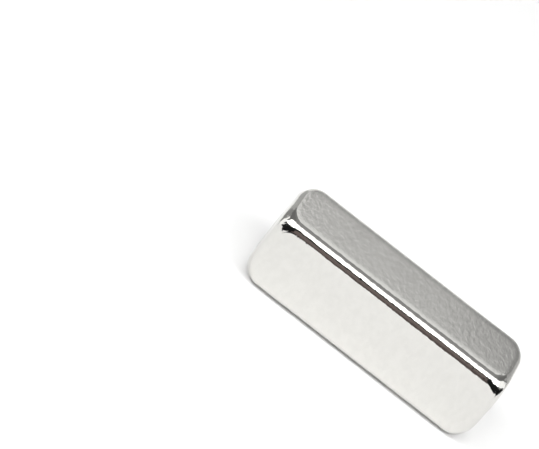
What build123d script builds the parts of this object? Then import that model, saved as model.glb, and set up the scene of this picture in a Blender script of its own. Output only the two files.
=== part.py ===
from build123d import *
import os

# A block magnet: one solid bar of square section with softly rounded edges and
# rounder corners. Millimetres, +Z up, the length along X. The origin is the
# middle of the bottom face.

# Overall size, measured face to face.
LENGTH = 25.0
WIDTH = 8.0
HEIGHT = 8.0

# Where a small sloping plane crosses the three edges that meet at each corner,
# measured from the corner. It reaches further along the bar than across it.
CORNER_ALONG = 2.45
CORNER_ACROSS = 1.75

# One radius rounds every edge, those of the sloping planes included.
EDGE_RADIUS = 0.9

with BuildPart() as magnet_block:
    # The square bar, standing on its bottom face.
    with BuildSketch(Plane.XY):
        Rectangle(LENGTH, WIDTH)
    extrude(amount=HEIGHT)

    # One sloping cut at each of the eight corners. Each plane passes through the
    # long edge at CORNER_ALONG from the end and slopes equally to both sides.
    for end in (-1, 1):
        for side in (-1, 1):
            for level in (-1, 1):
                on_edge = Vector(
                    end * (LENGTH / 2 - CORNER_ALONG),
                    side * WIDTH / 2,
                    HEIGHT / 2 + level * HEIGHT / 2,
                )
                outward = Vector(
                    end / CORNER_ALONG, side / CORNER_ACROSS, level / CORNER_ACROSS
                )
                split(bisect_by=Plane(origin=on_edge, z_dir=outward), keep=Keep.BOTTOM)

    # Every edge of the cut block is rounded in one go, so that the corners run
    # smoothly into the edges.
    fillet(magnet_block.edges(), radius=EDGE_RADIUS)

magnet_block.part.label = "magnet_block"

os.makedirs("parts", exist_ok=True)
export_step(magnet_block.part, "parts/magnet_block.step")

box = magnet_block.part.bounding_box()
print("size", [round(v, 3) for v in (box.size.X, box.size.Y, box.size.Z)])
print("volume", round(magnet_block.part.volume, 2), "mm3, solids", len(magnet_block.part.solids()))
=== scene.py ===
# %% [markdown]
# # A block magnet in Blender
#
# A block magnet is a bar of sintered magnet alloy. The bar is ground flat on all six
# sides, tumbled with small stones until its edges and corners are round, and then
# plated with bright nickel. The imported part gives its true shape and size. This
# script gives it the look: a finer skin, the two finishes that grinding and tumbling
# leave under the nickel, a white table, a soft lamp and a camera.

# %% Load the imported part
import math

import bpy
from mathutils import Matrix, Vector


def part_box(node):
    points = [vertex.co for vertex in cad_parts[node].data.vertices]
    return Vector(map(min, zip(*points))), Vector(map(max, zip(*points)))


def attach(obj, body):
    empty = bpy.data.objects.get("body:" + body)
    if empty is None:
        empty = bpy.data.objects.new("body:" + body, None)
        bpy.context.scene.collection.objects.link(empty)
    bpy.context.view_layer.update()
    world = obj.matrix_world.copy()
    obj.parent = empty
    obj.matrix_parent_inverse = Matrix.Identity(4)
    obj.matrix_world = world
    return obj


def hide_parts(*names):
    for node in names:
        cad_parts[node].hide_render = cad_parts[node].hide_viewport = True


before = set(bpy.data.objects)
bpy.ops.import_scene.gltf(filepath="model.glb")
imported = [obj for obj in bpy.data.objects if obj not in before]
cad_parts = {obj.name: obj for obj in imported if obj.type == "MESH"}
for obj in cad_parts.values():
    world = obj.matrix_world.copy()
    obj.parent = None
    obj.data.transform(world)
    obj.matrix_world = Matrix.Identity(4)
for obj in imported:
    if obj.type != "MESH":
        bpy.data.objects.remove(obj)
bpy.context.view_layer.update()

MM = 0.001
bar_low, bar_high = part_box("magnet_block")
bar_size = bar_high - bar_low
bar_middle = (bar_low + bar_high) / 2
print("bar in mm:", [round(side / MM, 3) for side in bar_size])

# %% [markdown]
# ## Two helpers
#
# A colour is easiest to pick as a hex value, as on a colour chart, but the renderer
# adds up light, so it needs linear values. One function turns the one into the other.
# The second adds a node with its settings and its links, so that each node tree below
# can be read from top to bottom.

# %% Colour and node helpers
def linear(hex_colour):
    """The linear red, green, blue and alpha of an sRGB hex colour."""
    channels = [int(hex_colour[i : i + 2], 16) / 255 for i in (1, 3, 5)]
    bent = [c / 12.92 if c <= 0.04045 else ((c + 0.055) / 1.055) ** 2.4 for c in channels]
    return (*bent, 1.0)


def add_node(tree, kind, inputs=None, **settings):
    """Adds a node with these settings and fills its inputs, named or counted.

    An input takes a plain value, an output, or a node, which stands for its first output.
    """
    node = tree.nodes.new(kind)
    for name, value in settings.items():
        setattr(node, name, value)
    ports = [port for port in node.inputs if port.enabled]
    for key, value in (inputs or {}).items():
        port = ports[key] if isinstance(key, int) else next(p for p in ports if p.name == key)
        if isinstance(value, bpy.types.Node):
            value = next(output for output in value.outputs if output.enabled)
        if isinstance(value, bpy.types.NodeSocket):
            tree.links.new(value, port)
        else:
            port.default_value = value
    return node


WHITE, BLACK = "#FFFFFF", "#000000"
print("a middle grey, #808080, as linear light:", round(linear("#808080")[0], 3))

# %% [markdown]
# ## The shape's rule
#
# Tumbling rounds a block the way a ball rolls round it: the finished skin is every
# point that lies one edge radius away from a smaller core. The core is the same bar,
# smaller by that radius on every side, with its corners rounded off by a larger ball.
# A bevel on a cube could round the edges too, but it makes a messy patch where three
# rounded edges meet, and it can't make the corners rounder than the edges.
#
# The edges round the two ends are tighter than the four long ones. So along the bar,
# every rounding reaches only part as far as it does across.

# %% Sizes of the rounding
EDGE_RADIUS = 0.97 * MM
CORNER_RADIUS = 2.06 * MM
REACH_ALONG = 0.66
reach = (REACH_ALONG, 1.0, 1.0)
rounded_zone = [(EDGE_RADIUS + CORNER_RADIUS) * share for share in reach]
print("rounded zone from each side in mm:", [round(zone / MM, 2) for zone in rounded_zone])

# %% [markdown]
# The skin starts as the six flat sides of the bar, divided into a grid. Only the
# rounded borders need fine cells, so the grid lines stand close together there and
# wide apart on the flats. An even grid would be as smooth, but with far more faces.

# %% Grid lines of the skin
FINE_CELL = 0.08 * MM
WIDE_CELL = 0.4 * MM


def grid_of_side(side, zone):
    """Number of points along one side, and the share of its half length with wide cells."""
    fine = math.ceil(zone / FINE_CELL)
    wide = round((side - 2 * zone) / WIDE_CELL)
    return 2 * fine + wide + 1, wide / (2 * fine + wide)


grids = [grid_of_side(side, zone) for side, zone in zip(bar_size, rounded_zone)]
print("grid points along the sides:", [points for points, share in grids])

# %% [markdown]
# ## The skin as Geometry Nodes
#
# The rule needs one question answered for every grid point: which point of the core
# is nearest? For a box with ball-rounded corners a few calculations give it. The tree
# spreads the grid lines of a Cube and then pulls each grid point to one edge radius
# from the core.
#
# A tumbled edge doesn't start sharply beside the flat. A shallow shoulder leads into
# it, and its depth wanders a little along the bar. Both only take material away, so
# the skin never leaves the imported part's box. The tree also stores, for every point,
# how far inside a ground flat it lies. The finish below reads that.

# %% The tree's inputs
SKIN_INPUTS = {
    "Size": ("NodeSocketVector", bar_size),
    "Middle": ("NodeSocketVector", bar_middle),
    "Edge radius": ("NodeSocketFloat", EDGE_RADIUS),
    "Corner radius": ("NodeSocketFloat", CORNER_RADIUS),
    "Reach": ("NodeSocketVector", reach),
    "Rounded zone": ("NodeSocketVector", rounded_zone),
    "Wide share": ("NodeSocketVector", [share for points, share in grids]),
    "Points X": ("NodeSocketInt", grids[0][0]),
    "Points Y": ("NodeSocketInt", grids[1][0]),
    "Points Z": ("NodeSocketInt", grids[2][0]),
    "Shoulder width": ("NodeSocketFloat", 0.7 * MM),
    "Shoulder depth": ("NodeSocketFloat", 0.035 * MM),
    "Wander depth": ("NodeSocketFloat", 0.02 * MM),
    "Wander length": ("NodeSocketFloat", 2.5 * MM),
    "Seed": ("NodeSocketFloat", 3.0),
    "Finish": ("NodeSocketMaterial", None),
}
skin = bpy.data.node_groups.new("tumbled_bar", "GeometryNodeTree")
skin.interface.new_socket("Skin", in_out="OUTPUT", socket_type="NodeSocketGeometry")
sockets = {
    name: skin.interface.new_socket(name, in_out="INPUT", socket_type=kind)
    for name, (kind, value) in SKIN_INPUTS.items()
}
given = add_node(skin, "NodeGroupInput").outputs
print("inputs of the tree:", len(sockets))

# %% The grid of the six sides
VECTOR = "ShaderNodeVectorMath"
grid = add_node(
    skin,
    "GeometryNodeMeshCube",
    {
        "Size": given["Size"],
        "Vertices X": given["Points X"],
        "Vertices Y": given["Points Y"],
        "Vertices Z": given["Points Z"],
    },
)
half_size = add_node(skin, VECTOR, {0: given["Size"], "Scale": 0.5}, operation="SCALE")
even_place = add_node(skin, "GeometryNodeInputPosition")
even_size = add_node(skin, VECTOR, {0: even_place}, operation="ABSOLUTE")
even_sign = add_node(skin, VECTOR, {0: even_place}, operation="SIGN")
out_share = add_node(skin, VECTOR, {0: even_size, 1: half_size}, operation="DIVIDE")
print("nodes for the even grid:", len(skin.nodes))

# %% The same grid, with its lines drawn towards the borders
RANGE = "ShaderNodeMapRange"
flat_zone = add_node(
    skin, VECTOR, {0: half_size, 1: given["Rounded zone"]}, operation="SUBTRACT"
)
on_the_flat = add_node(
    skin,
    RANGE,
    {"Vector": out_share, "From Max": given["Wide share"], "To Max": flat_zone},
    data_type="FLOAT_VECTOR",
)
on_the_border = add_node(
    skin,
    RANGE,
    {
        "Vector": out_share,
        "From Min": given["Wide share"],
        "To Max": given["Rounded zone"],
    },
    data_type="FLOAT_VECTOR",
)
drawn_size = add_node(skin, VECTOR, {0: on_the_flat, 1: on_the_border}, operation="ADD")
drawn_place = add_node(skin, VECTOR, {0: drawn_size, 1: even_sign}, operation="MULTIPLY")
drawn_grid = add_node(
    skin, "GeometryNodeSetPosition", {"Geometry": grid, "Position": drawn_place}
)
print("nodes up to the drawn grid:", len(skin.nodes))

# %% [markdown]
# The eight corners are alike, so the sum is done once, with lengths in place of
# positions, and in a space where the bar is stretched until its roundings reach
# equally far on all three axes. There the core is a box, and a ball has rounded its
# corners. Seen from the inner end of a corner, the core's nearest point lies in the
# grid point's direction, but no farther out than the core's sides. What is left to
# find is the share of the way: to the ball, or to the bend where ball and side meet.
# The ball's radius is the corner radius times the square root of two, because such a
# ball cuts each side of the core in a bend of just one corner radius.

# %% Into the corner
NUMBER = "ShaderNodeMath"
AXES = "ShaderNodeSeparateXYZ"
place = add_node(skin, "GeometryNodeInputPosition")
place_size = add_node(skin, VECTOR, {0: place}, operation="ABSOLUTE")
place_sign = add_node(skin, VECTOR, {0: place}, operation="SIGN")
stretched = add_node(skin, VECTOR, {0: place_size, 1: given["Reach"]}, operation="DIVIDE")
stretched_half = add_node(
    skin, VECTOR, {0: half_size, 1: given["Reach"]}, operation="DIVIDE"
)
both_radii = add_node(
    skin, NUMBER, {0: given["Edge radius"], 1: given["Corner radius"]}, operation="ADD"
)
inner_end = add_node(
    skin, VECTOR, {0: stretched_half, 1: both_radii}, operation="SUBTRACT"
)
past_inner_end = add_node(skin, VECTOR, {0: stretched, 1: inner_end}, operation="SUBTRACT")
into_corner = add_node(
    skin, VECTOR, {0: past_inner_end, 1: (0, 0, 0)}, operation="MAXIMUM"
)
corner_axes = add_node(skin, AXES, {0: into_corner}).outputs
print("nodes up to the corner:", len(skin.nodes))

# %% The share of the way to the core
NEVER_ZERO = 1e-9
far = add_node(skin, VECTOR, {0: into_corner}, operation="LENGTH")
larger = add_node(skin, NUMBER, {0: corner_axes[0], 1: corner_axes[1]}, operation="MAXIMUM")
upright = add_node(skin, NUMBER, {0: larger, 1: corner_axes[2]}, operation="MAXIMUM")
far_squared = add_node(skin, NUMBER, {0: far, 1: far}, operation="MULTIPLY")
upright_squared = add_node(skin, NUMBER, {0: upright, 1: upright}, operation="MULTIPLY")
rest = add_node(skin, NUMBER, {0: far_squared, 1: upright_squared}, operation="SUBTRACT")
sideways = add_node(skin, NUMBER, {0: rest}, operation="SQRT")
ball_radius = add_node(
    skin, NUMBER, {0: given["Corner radius"], 1: math.sqrt(2)}, operation="MULTIPLY"
)
ball_share = add_node(skin, NUMBER, {0: ball_radius, 1: far}, operation="DIVIDE")
safe_sideways = add_node(skin, NUMBER, {0: sideways, 1: NEVER_ZERO}, operation="MAXIMUM")
bend_share = add_node(
    skin, NUMBER, {0: given["Corner radius"], 1: safe_sideways}, operation="DIVIDE"
)
larger_share = add_node(skin, NUMBER, {0: ball_share, 1: bend_share}, operation="MAXIMUM")
way_share = add_node(skin, NUMBER, {0: larger_share, 1: 1.0}, operation="MINIMUM")
print("nodes up to the share of the way:", len(skin.nodes))

# %% The nearest point of the core, and the way out from it
way = add_node(skin, VECTOR, {0: into_corner, "Scale": way_share}, operation="SCALE")
corner_part = add_node(
    skin, VECTOR, {0: way, 1: given["Corner radius"]}, operation="MINIMUM"
)
straight_part = add_node(skin, VECTOR, {0: stretched, 1: inner_end}, operation="MINIMUM")
nearest = add_node(skin, VECTOR, {0: straight_part, 1: corner_part}, operation="ADD")
gap = add_node(skin, VECTOR, {0: stretched, 1: nearest}, operation="SUBTRACT")
outward = add_node(skin, VECTOR, {0: gap}, operation="NORMALIZE")
print("nodes up to the nearest point:", len(skin.nodes))

# %% [markdown]
# On a flat, the distance inside it is what the corner radius leaves beside the
# sideways part. Round an edge the turn of the surface counts instead, as a length
# along the curve with a minus sign. The two meet at zero on the flat's border.

# %% Distance inside a flat
STRAIGHT = 0.99999
out_axes = add_node(skin, AXES, {0: outward}).outputs
steeper = add_node(skin, NUMBER, {0: out_axes[0], 1: out_axes[1]}, operation="MAXIMUM")
steepest = add_node(skin, NUMBER, {0: steeper, 1: out_axes[2]}, operation="MAXIMUM")
is_flat = add_node(skin, NUMBER, {0: steepest, 1: STRAIGHT}, operation="GREATER_THAN")
at_most_one = add_node(skin, NUMBER, {0: steepest, 1: 1.0}, operation="MINIMUM")
turn = add_node(skin, NUMBER, {0: at_most_one}, operation="ARCCOSINE")
curve_length = add_node(
    skin, NUMBER, {0: turn, 1: given["Edge radius"]}, operation="MULTIPLY"
)
to_border = add_node(
    skin, NUMBER, {0: given["Corner radius"], 1: sideways}, operation="SUBTRACT"
)
flat_length = add_node(skin, NUMBER, {0: to_border, 1: is_flat}, operation="MULTIPLY")
inside = add_node(skin, NUMBER, {0: flat_length, 1: curve_length}, operation="SUBTRACT")
print("nodes up to the distance:", len(skin.nodes))

# %% The shoulder, and how its depth wanders
NOISE = "ShaderNodeTexNoise"
HALF_OF_THE_TURN = math.pi / 4
curve_end = add_node(
    skin, NUMBER, {0: given["Edge radius"], 1: -HALF_OF_THE_TURN}, operation="MULTIPLY"
)
shoulder = add_node(
    skin,
    RANGE,
    {"Value": inside, "From Min": given["Shoulder width"], "From Max": curve_end},
    interpolation_type="SMOOTHSTEP",
)
wander_scale = add_node(
    skin, NUMBER, {0: 1.0, 1: given["Wander length"]}, operation="DIVIDE"
)
wander = add_node(
    skin,
    NOISE,
    {"Vector": place, "W": given["Seed"], "Scale": wander_scale},
    noise_dimensions="4D",
)
wander_depth = add_node(
    skin, NUMBER, {0: wander, 1: given["Wander depth"]}, operation="MULTIPLY"
)
depth = add_node(
    skin, NUMBER, {0: given["Shoulder depth"], 1: wander_depth}, operation="ADD"
)
worn_off = add_node(skin, NUMBER, {0: shoulder, 1: depth}, operation="MULTIPLY")
worn_radius = add_node(
    skin, NUMBER, {0: given["Edge radius"], 1: worn_off}, operation="SUBTRACT"
)
print("nodes up to the shoulder:", len(skin.nodes))

# %% Back from the one corner to all eight
push = add_node(skin, VECTOR, {0: outward, "Scale": worn_radius}, operation="SCALE")
landed = add_node(skin, VECTOR, {0: nearest, 1: push}, operation="ADD")
unstretched = add_node(
    skin, VECTOR, {0: landed, 1: given["Reach"]}, operation="MULTIPLY"
)
signed = add_node(skin, VECTOR, {0: unstretched, 1: place_sign}, operation="MULTIPLY")
skin_place = add_node(skin, VECTOR, {0: signed, 1: given["Middle"]}, operation="ADD")
print("nodes up to the skin's place:", len(skin.nodes))

# %% Store the distance, move the grid, smooth it and give it its finish
stored = add_node(
    skin,
    "GeometryNodeStoreNamedAttribute",
    {"Geometry": drawn_grid, "Name": "inside_flat", "Value": inside},
    data_type="FLOAT",
    domain="POINT",
)
moved = add_node(
    skin, "GeometryNodeSetPosition", {"Geometry": stored, "Position": skin_place}
)
smooth = add_node(skin, "GeometryNodeSetShadeSmooth", {"Geometry": moved})
real = add_node(skin, "GeometryNodeRealizeInstances", {"Geometry": smooth})
finished = add_node(
    skin, "GeometryNodeSetMaterial", {"Geometry": real, "Material": given["Finish"]}
)
add_node(skin, "NodeGroupOutput", {0: finished})
print("nodes in the whole tree:", len(skin.nodes))

# %% [markdown]
# ## The finish: bright nickel plating
#
# The plating is a few hundredths of a millimetre of nickel, and it copies what lies
# under it. Over the ground flats that is a fine, cloudy grain, so they are satin and
# reflect softly. Over the tumbled edges it is nearly a mirror, with a faint ripple
# that makes the edge of a reflected lamp ragged. Nickel is a slightly warm grey metal.
#
# Two materials on two sets of faces would meet in a sharp line, and a real bar has
# none. So one material holds both finishes: the stored distance inside the flat tells
# it where it is, and the rest is noise at the sizes of the marks.
#
# In the picture one point covers about 0.09 mm of the bar. The real grain is finer, so
# it is drawn coarser, just enough to show. It is a little longer across the bar, the
# way a grinding wheel would run, so its noise changes slower that way. A slight swirl
# keeps the marks from lying like combed hair.

# %% Sizes of the grain
GRAIN = 0.45 * MM
GRAIN_PACE = (1.0, 0.6, 0.6)
GRAIN_SWIRL = 0.4
FINE_GRAIN = 0.15 * MM
RIPPLE = 0.4 * MM
CLOUD = 5.0 * MM
FINER_LAYERS = 1
nickel = bpy.data.materials.new("bright_nickel_plating")
nickel.use_nodes = True
plating = nickel.node_tree
plating.nodes.clear()
place_on_bar = add_node(plating, "ShaderNodeTexCoord").outputs["Object"]
grain_place = add_node(
    plating, VECTOR, {0: place_on_bar, 1: GRAIN_PACE}, operation="MULTIPLY"
)
grain = add_node(
    plating,
    NOISE,
    {
        "Vector": grain_place,
        "Scale": 1 / GRAIN,
        "Detail": FINER_LAYERS,
        "Distortion": GRAIN_SWIRL,
    },
)
fine_grain, ripple, cloud = (
    add_node(
        plating, NOISE, {"Vector": place_on_bar, "Scale": 1 / size, "Detail": FINER_LAYERS}
    )
    for size in (FINE_GRAIN, RIPPLE, CLOUD)
)
print("marks in mm:", [round(size / MM, 2) for size in (GRAIN, FINE_GRAIN, RIPPLE, CLOUD)])

# %% [markdown]
# The tumbling stones also polish a hair's breadth of each flat beside its border, so
# the change from mirror to satin starts on the border and ends a little inside it.

# %% Where the plating is satin
SATIN_FROM, SATIN_TO = -0.03 * MM, 0.7 * MM
inside_flat = add_node(plating, "ShaderNodeAttribute", attribute_name="inside_flat")
ground = add_node(
    plating,
    RANGE,
    {"Value": inside_flat.outputs["Fac"], "From Min": SATIN_FROM, "From Max": SATIN_TO},
    interpolation_type="SMOOTHSTEP",
)
tumbled = add_node(plating, NUMBER, {0: 1.0, 1: ground}, operation="SUBTRACT")
print("from mirror to satin in mm:", round((SATIN_TO - SATIN_FROM) / MM, 2))

# %% [markdown]
# Neither finish is quite even. The satin varies slowly, like breath on the metal, and
# the mirror quickly. Nearly all values of a noise lie between 0.3 and 0.7, so that
# span is what gets spread over each pair of roughnesses and over the two greys.

# %% Roughness of the plating
NOISE_SPAN = {"From Min": 0.3, "From Max": 0.7}
SATIN_ROUGHNESS = {"To Min": 0.20, "To Max": 0.25}
MIRROR_ROUGHNESS = {"To Min": 0.06, "To Max": 0.10}
satin = add_node(plating, RANGE, {"Value": cloud, **NOISE_SPAN, **SATIN_ROUGHNESS})
mirror = add_node(plating, RANGE, {"Value": fine_grain, **NOISE_SPAN, **MIRROR_ROUGHNESS})
roughness = add_node(
    plating, "ShaderNodeMix", {"Factor": ground, "A": mirror, "B": satin}, data_type="FLOAT"
)
print("satin roughness:", SATIN_ROUGHNESS, "mirror roughness:", MIRROR_ROUGHNESS)

# %% Colour of the plating
NICKEL_GREY, NICKEL_PALE = "#D3D2CE", "#D7D6D2"
spots = add_node(plating, RANGE, {"Value": grain, **NOISE_SPAN})
colour = add_node(
    plating,
    "ShaderNodeMix",
    {"Factor": spots, "A": linear(NICKEL_GREY), "B": linear(NICKEL_PALE)},
    data_type="RGBA",
)
print("nickel from", NICKEL_GREY, "to", NICKEL_PALE)

# %% [markdown]
# The grain and the ripple are far too shallow to be shapes, so a bump gives them. In
# the tumbler the stones struck one end of this bar more often than the rest of it, so
# the grain is stronger towards that end.

# %% Bump of the plating
STRUCK_FROM, STRUCK_TO = -6.5 * MM, -10.5 * MM
GRAIN_ELSEWHERE = 0.47
FINE_SHARE = 0.08
GRAIN_DEPTH = 0.045 * MM
RIPPLE_DEPTH = 0.02 * MM
along = add_node(plating, AXES, {0: place_on_bar}).outputs["X"]
grain_strength = add_node(
    plating,
    RANGE,
    {
        "Value": along,
        "From Min": STRUCK_FROM,
        "From Max": STRUCK_TO,
        "To Min": GRAIN_ELSEWHERE,
    },
)
grain_height = add_node(
    plating, NUMBER, {0: fine_grain, 1: FINE_SHARE, 2: grain}, operation="MULTIPLY_ADD"
)
ground_strength = add_node(
    plating, NUMBER, {0: ground, 1: grain_strength}, operation="MULTIPLY"
)
ground_bump = add_node(
    plating,
    "ShaderNodeBump",
    {"Strength": ground_strength, "Distance": GRAIN_DEPTH, "Height": grain_height},
)
bump = add_node(
    plating,
    "ShaderNodeBump",
    {
        "Strength": tumbled,
        "Distance": RIPPLE_DEPTH,
        "Height": ripple,
        "Normal": ground_bump,
    },
)
print("bump in mm:", round(GRAIN_DEPTH / MM, 3), "ground,", round(RIPPLE_DEPTH / MM, 3), "tumbled")

# %% The plating itself
shader = add_node(
    plating,
    "ShaderNodeBsdfPrincipled",
    {"Base Color": colour, "Metallic": 1.0, "Roughness": roughness, "Normal": bump},
)
add_node(plating, "ShaderNodeOutputMaterial", {"Surface": shader})
print("nodes in the plating:", len(plating.nodes))

# %% [markdown]
# ## Make the magnet
#
# The tree runs on an empty mesh. Its inputs are set by the sockets' identifiers, the
# result becomes a plain mesh, and the modifier's object is removed again. The imported
# bar stays in the scene, hidden, and the new skin is shown in its place.

# %% Run the tree and keep its mesh
seedling = bpy.data.objects.new("seedling", bpy.data.meshes.new("seedling"))
bpy.context.scene.collection.objects.link(seedling)
tumbling = seedling.modifiers.new("tumbling", "NODES")
tumbling.node_group = skin
for name, (kind, value) in SKIN_INPUTS.items():
    tumbling[sockets[name].identifier] = nickel if name == "Finish" else value
shaped = seedling.evaluated_get(bpy.context.evaluated_depsgraph_get())
skin_mesh = bpy.data.meshes.new_from_object(shaped)
bpy.data.objects.remove(seedling)
magnet = bpy.data.objects.new("magnet", skin_mesh)
bpy.context.scene.collection.objects.link(magnet)
print("magnet:", len(skin_mesh.vertices), "points,", len(skin_mesh.polygons), "faces")

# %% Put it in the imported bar's place
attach(magnet, "root")
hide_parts("magnet_block")
print("magnet stands in for magnet_block")

# %% [markdown]
# ## The studio
#
# A shiny magnet shows its surroundings more than itself, so the studio is half of
# its look. A long lamp hangs over it and gives the white line along its upper edge.
# Below that line the edge mirrors a dim card in front, and above it a grey ceiling.
# Area lights would be quicker to set up, but a glowing panel can fade from one side to
# the other, can be bent, and shows in the nickel just as it is laid out. None of this
# belongs to the magnet.

# %% Panels and what covers them
def panel(name, near_line, far_line, material):
    """A panel of the studio, stretched between two lines of points.

    It keeps how far across it every point lies, 0 on the near line and 1 on the far one.
    """
    count = len(near_line)
    mesh = bpy.data.meshes.new(name)
    mesh.from_pydata(
        [*near_line, *far_line],
        [],
        [(i, i + 1, count + i + 1, count + i) for i in range(count - 1)],
    )
    across = mesh.attributes.new("across", "FLOAT", "POINT")
    across.data.foreach_set("value", [0.0] * count + [1.0] * count)
    mesh.materials.append(material)
    made = bpy.data.objects.new(name, mesh)
    bpy.context.scene.collection.objects.link(made)
    return made


def glowing(name, paint, glow_colour, glow):
    """A matt paint that also gives off an even light."""
    material = bpy.data.materials.new(name)
    material.use_nodes = True
    material.node_tree.nodes.clear()
    surface = add_node(
        material.node_tree,
        "ShaderNodeBsdfPrincipled",
        {
            "Base Color": linear(paint),
            "Roughness": 1.0,
            "Specular IOR Level": 0.0,
            "Emission Color": linear(glow_colour),
            "Emission Strength": glow,
        },
    )
    add_node(material.node_tree, "ShaderNodeOutputMaterial", {"Surface": surface})
    return material


# %% [markdown]
# The table is white opal with a weak glow of its own, so that the dark line where the
# magnet meets it stays thin and soft. A pale backdrop stands far round it. A white
# world would fill the picture as well, but the nickel would mirror it everywhere. Only
# the camera sees the backdrop, so it puts no light on the nickel.

# %% Table and backdrop
TABLE_REACH = 1.5
TABLE_PAINT = "#F2F2F2"
TABLE_GLOW = 0.12
panel(
    "light_table",
    [(-TABLE_REACH, -TABLE_REACH, 0), (TABLE_REACH, -TABLE_REACH, 0)],
    [(-TABLE_REACH, TABLE_REACH, 0), (TABLE_REACH, TABLE_REACH, 0)],
    glowing("opal_table", TABLE_PAINT, WHITE, TABLE_GLOW),
)
BACKDROP_RADIUS = 1.4
BACKDROP_HEIGHT = 1.5
BACKDROP_SIDES = 24
BACKDROP_GLOW = 1.0
turns = [2 * math.pi * side / BACKDROP_SIDES for side in range(BACKDROP_SIDES + 1)]
ring = [(BACKDROP_RADIUS * math.cos(t), BACKDROP_RADIUS * math.sin(t)) for t in turns]
backdrop = panel(
    "backdrop",
    [(x, y, 0) for x, y in ring],
    [(x, y, BACKDROP_HEIGHT) for x, y in ring],
    glowing("backdrop_paper", BLACK, WHITE, BACKDROP_GLOW),
)
backdrop.visible_glossy = False
backdrop.visible_diffuse = False
backdrop.visible_shadow = False
print("table is", 2 * TABLE_REACH, "m wide, backdrop", 2 * BACKDROP_RADIUS, "m across")

# %% [markdown]
# The lamp is a long strip of lit cloth, and a grey ceiling goes on behind it. Going
# back across the lamp, the light fades in, stays bright and fades to the ceiling's
# grey. The fades give the white line its soft sides. Towards its ends the lamp is swept
# back, its front more than its rear, which carries the line straight round the magnet's
# corners. Places are given in lamp heights: 1 lies at 45 degrees behind the magnet, and
# -1 at 45 degrees in front.

# %% Lamp and ceiling
LAMP_HEIGHT = 0.3
LAMP_WING = 8.0
LAMP_STATIONS = 32
LAMP_GLOW = 4.35
CEILING_GLOW = 0.34
FRONT_EDGE, FRONT_SWEEP = -0.87, 0.3
REAR_EDGE, REAR_SWEEP = 0.15, 0.025
CEILING_EDGE = 1.7
stations = [LAMP_WING * (2 * i / LAMP_STATIONS - 1) for i in range(LAMP_STATIONS + 1)]


def hung(places):
    """The points of these places along and behind, both in lamp heights."""
    return [(x * LAMP_HEIGHT, y * LAMP_HEIGHT, LAMP_HEIGHT) for x, y in places]


lamp_cloth = glowing("lamp_cloth", BLACK, WHITE, LAMP_GLOW)
lamp_front = hung([(x, FRONT_EDGE + FRONT_SWEEP * (math.hypot(x, 1) - 1)) for x in stations])
lamp_rear = hung([(x, REAR_EDGE + REAR_SWEEP * x**2) for x in stations])
ceiling_rear = hung([(x, CEILING_EDGE + REAR_SWEEP * x**2) for x in stations])
lamp = panel("lamp", lamp_front, lamp_rear, lamp_cloth)
ceiling_paint = glowing("ceiling_paint", BLACK, WHITE, CEILING_GLOW)
ceiling = panel("ceiling", lamp_rear, ceiling_rear, ceiling_paint)
lamp.visible_camera = False
ceiling.visible_camera = False
print("lamp is", round(2 * LAMP_WING * LAMP_HEIGHT, 2), "m long")

# %% [markdown]
# The ceiling is brightest over the magnet and weaker to both sides. The long edge
# mirrors its middle, and the round ends mirror its sides, so the ends come out darker.

# %% The ceiling's light
CEILING_SIDE_GLOW = 0.2
SIDES_FROM, SIDES_TO = 0.03, 0.25


def ceiling_light(tree):
    """The ceiling's glow at a place: full over the magnet and weaker to both sides."""
    place = add_node(tree, "ShaderNodeTexCoord").outputs["Object"]
    along = add_node(tree, AXES, {0: place}).outputs["X"]
    to_the_side = add_node(tree, NUMBER, {0: along}, operation="ABSOLUTE")
    return add_node(
        tree,
        RANGE,
        {
            "Value": to_the_side,
            "From Min": SIDES_FROM,
            "From Max": SIDES_TO,
            "To Min": CEILING_GLOW,
            "To Max": CEILING_SIDE_GLOW,
        },
        interpolation_type="SMOOTHSTEP",
    )


def give_glow(tree, glow):
    """Gives this glow to the paint of a tree."""
    paint = next(node for node in tree.nodes if node.type == "BSDF_PRINCIPLED")
    tree.links.new(glow.outputs[0], paint.inputs["Emission Strength"])


give_glow(ceiling_paint.node_tree, ceiling_light(ceiling_paint.node_tree))
print("ceiling's glow:", CEILING_GLOW, "over the magnet,", CEILING_SIDE_GLOW, "at the sides")

# %% The lamp's fades
FADE_IN_TO = 0.19
FADE_OUT_FROM, FADE_OUT_TO = 0.5, 1.0
cloth = lamp_cloth.node_tree
across = add_node(cloth, "ShaderNodeAttribute", attribute_name="across").outputs["Fac"]
fade_in = add_node(
    cloth, RANGE, {"Value": across, "From Max": FADE_IN_TO}, interpolation_type="SMOOTHSTEP"
)
fade_out = add_node(
    cloth,
    RANGE,
    {
        "Value": across,
        "From Min": FADE_OUT_FROM,
        "From Max": FADE_OUT_TO,
        "To Min": LAMP_GLOW,
        "To Max": ceiling_light(cloth),
    },
    interpolation_type="SMOOTHSTEP",
)
cloth_glow = add_node(cloth, NUMBER, {0: fade_in, 1: fade_out}, operation="MULTIPLY")
give_glow(cloth, cloth_glow)
print("lamp at its brightest:", LAMP_GLOW)

# %% [markdown]
# The cards stand close round the magnet, as on a photographer's table. They are seen
# only in the nickel: the camera looks through them, and they throw no shadow.
#
# Behind the magnet, from the top down, a pale card lights the rim between the top and
# the white line, a grey one gives the top its own grey, a darker strip follows, and a
# low white card lights the far edge. At each end, cards of several greys keep the round
# end from vanishing into white. A small bright card there ends the white line, and a
# dark one gives the black spot below it. A card of its own, just in front of the grey
# one, lights the rim at the left. In front of the magnet, a dim warm card fills the dark
# line, with a darker strip at its foot.

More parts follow.
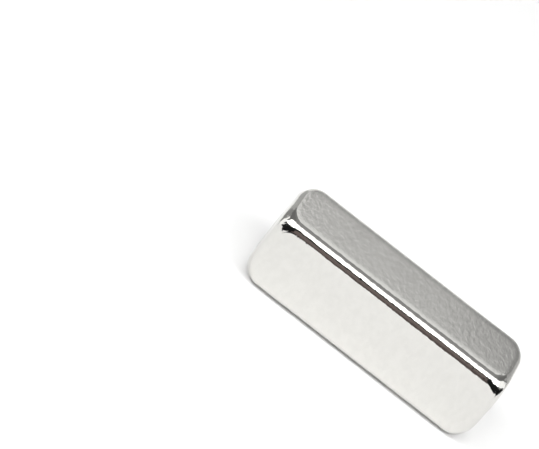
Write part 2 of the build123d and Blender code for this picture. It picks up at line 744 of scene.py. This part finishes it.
# %% Cards, each with two ends, and for each end its x, y, foot and top in mm
WARM = "#FFE9E4"
CARDS = {
    # behind the magnet, from the top down, and the rim's own card
    "pale_card": ((-30, 100, 78, 112), (34, 100, 78, 112), WHITE, 1.0),
    "grey_card": ((-45, 100, 60, 78), (17, 100, 60, 78), WHITE, 0.505),
    "gap_card": ((-45, 100, 50, 60), (17, 100, 50, 60), WHITE, 0.41),
    "low_card": ((-45, 100, 0, 50), (17, 100, 0, 50), WHITE, 1.0),
    "left_rim": ((-32, 99, 58, 78), (-16, 99, 58, 78), WHITE, 0.8),
    # at the left end
    "left_wall": ((-37, 20, 0, 23), (-45, 100, 0, 78), WHITE, 0.52),
    "left_side": ((-34, 5.5, 0, 13), (-37, 20, 0, 23), WHITE, 0.32),
    "left_light": ((-34, -0.5, 4, 12), (-34, 5.5, 4, 13), WHITE, 1.4),
    "left_dark": ((-9, -34, 0, 8), (-22, -26, 0, 8), WHITE, 0.02),
    # at the right end
    "right_wall": ((17, 100, 50, 78), (32, 51, 29, 48), WHITE, 0.34),
    "right_side": ((32, 51, 29, 48), (46, 15, 10, 24), WHITE, 0.47),
    "right_foot": ((17, 100, 0, 50), (45.5, 18, 0, 14), WHITE, 0.60),
    "right_light": ((45.5, 18, 1, 5), (47, -2, 14, 38), WHITE, 1.4),
    "right_dark": ((45.5, 18, 0.5, 1), (47, -2, 0.5, 14), WHITE, 0.01),
    # in front of the magnet
    "dim_card": ((21, -66, 35, 77), (-50, -140, 4, 77), WARM, 0.21),
    "shade_card": ((21, -66, 0, 35), (-50, -140, 3, 4), WARM, 0.13),
}
for name, (one_end, other_end, card_colour, glow) in CARDS.items():
    lower_edge = [(x * MM, y * MM, foot * MM) for x, y, foot, top in (one_end, other_end)]
    upper_edge = [(x * MM, y * MM, top * MM) for x, y, foot, top in (one_end, other_end)]
    card = panel(name, lower_edge, upper_edge, glowing(name, BLACK, card_colour, glow))
    card.visible_camera = False
    card.visible_diffuse = False
    card.visible_shadow = False
print("cards:", len(CARDS))

# %% [markdown]
# Where no card stands, the nickel mirrors a room that is nearly black. Its weak light
# keeps the deepest spots from being quite empty.

# %% The dark room
ROOM_LIGHT = 0.015
room = bpy.data.worlds.new("dark_room")
bpy.context.scene.world = room
room.use_nodes = True
room.node_tree.nodes.clear()
room_light = add_node(
    room.node_tree,
    "ShaderNodeBackground",
    {"Color": linear(WHITE), "Strength": ROOM_LIGHT},
)
add_node(room.node_tree, "ShaderNodeOutputWorld", {"Surface": room_light})
print("light of the room:", ROOM_LIGHT)

# %% [markdown]
# ## The camera
#
# The camera stands in front of the bar, a third of the way up, and is turned on its
# side by about forty degrees, so the bar runs down across the picture. A long lens
# keeps its edges nearly parallel. The numbers come from laying the bar's outline over
# a photograph until the two agreed within about one picture point.

# %% Camera
CAMERA_AZIMUTH = math.radians(-1.41)
CAMERA_HEIGHT = math.radians(33.44)
CAMERA_ROLL = math.radians(38.68)
CAMERA_DISTANCE = 0.3041
CAMERA_TARGET = Vector((-12.812 * MM, -0.335 * MM, 4.0 * MM))
FILM_WIDTH_MM = 36.0
LENS_MM = 228.6
NEAREST, FARTHEST = 0.01, 10.0
towards_camera = Vector(
    (
        math.sin(CAMERA_AZIMUTH) * math.cos(CAMERA_HEIGHT),
        -math.cos(CAMERA_AZIMUTH) * math.cos(CAMERA_HEIGHT),
        math.sin(CAMERA_HEIGHT),
    )
)
camera = bpy.data.objects.new("camera", bpy.data.cameras.new("camera"))
bpy.context.scene.collection.objects.link(camera)
camera.data.sensor_width = FILM_WIDTH_MM
camera.data.lens = LENS_MM
camera.data.clip_start, camera.data.clip_end = NEAREST, FARTHEST
level = (-towards_camera).to_track_quat("-Z", "Y").to_matrix().to_4x4()
rolled = level @ Matrix.Rotation(CAMERA_ROLL, 4, "Z")
camera_place = CAMERA_TARGET + CAMERA_DISTANCE * towards_camera
camera.matrix_world = Matrix.Translation(camera_place) @ rolled
bpy.context.scene.camera = camera
print("camera at", [round(number, 4) for number in camera_place])

# %% [markdown]
# The plain Standard view keeps white as white, so the table comes out clean.

# %% Film
bpy.context.scene.view_settings.view_transform = "Standard"
